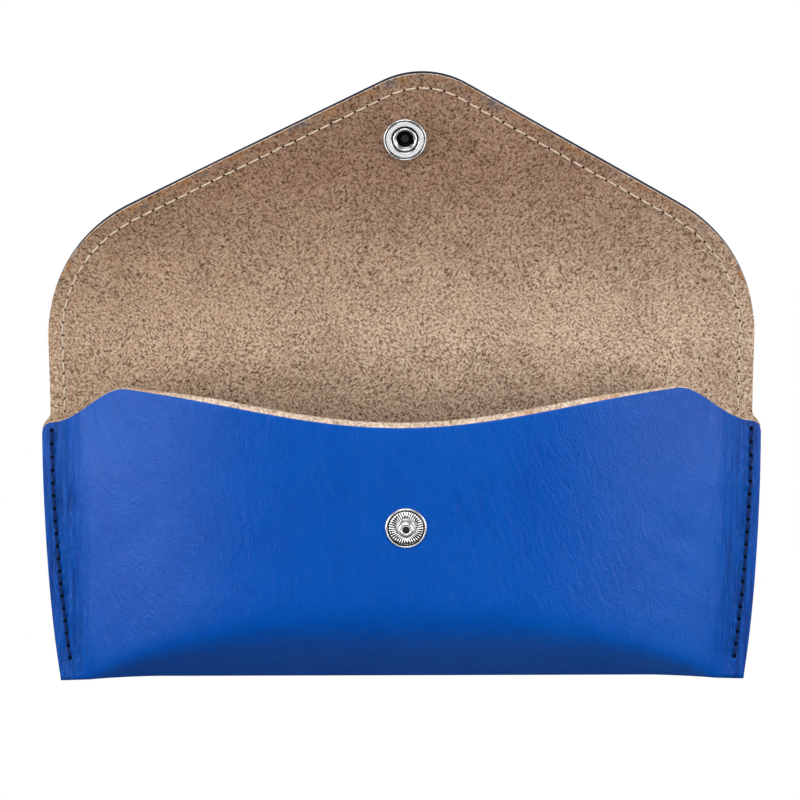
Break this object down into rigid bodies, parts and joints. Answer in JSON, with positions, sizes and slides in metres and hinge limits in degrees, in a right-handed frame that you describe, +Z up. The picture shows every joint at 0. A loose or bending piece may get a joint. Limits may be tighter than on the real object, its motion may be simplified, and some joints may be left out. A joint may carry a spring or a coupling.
{
  "type": "soft glasses case",
  "caption": "Soft leather glasses case: moulded pouch with a pointed envelope flap, edge stitching and a press stud, lying open on its back.",
  "frame": {"origin": "on the flat outer face of the back panel, midway between the two seams and 38 mm from the bottom fold", "axes": "+X along the seam-to-seam width, +Y towards the flap's point, +Z up through the thickness from the surface that the case lies on"},
  "size_m": [0.176, 0.1533, 0.0281],
  "materials": {
    "leather": "smooth semi-matt blue grain side, napped tan flesh side",
    "thread_blue": "matt twisted thread",
    "thread_natural": "matt twisted thread",
    "snap_metal": "polished nickel plate",
    "spring_wire": "bright wire"
  },
  "bodies": {
    "pouch": {"back_panel": "leather", "front_panel": "leather", "left_seam_needle_thread": "thread_blue", "right_seam_needle_thread": "thread_blue", "left_seam_bobbin_thread": "thread_blue", "right_seam_bobbin_thread": "thread_blue", "edge_bobbin_thread_root": "thread_natural", "snap_stud": "snap_metal", "snap_stud_post": "snap_metal"},
    "bridge": {"flap_bridge": "leather", "edge_needle_thread_bridge": "thread_blue", "edge_bobbin_thread_bridge": "thread_natural"},
    "flap": {"flap_panel": "leather", "edge_needle_thread_flap": "thread_blue", "edge_bobbin_thread_flap": "thread_natural", "snap_cap": "snap_metal", "snap_socket": "snap_metal", "snap_spring": "spring_wire"}
  },
  "joints": [
    {"name": "back_fold", "type": "hinge", "parent": "pouch", "child": "bridge", "pos_m": [0, 0.0405, 0.0015], "axis": [1, 0, 0], "range_deg": [0, 90]},
    {"name": "front_fold", "type": "hinge", "parent": "bridge", "child": "flap", "pos_m": [0, 0.0677, 0.0015], "axis": [1, 0, 0], "range_deg": [0, 82]}
  ],
  "couplings": [
    {"joint": "front_fold", "follows": "back_fold", "ratio": 0.9111}
  ]
}
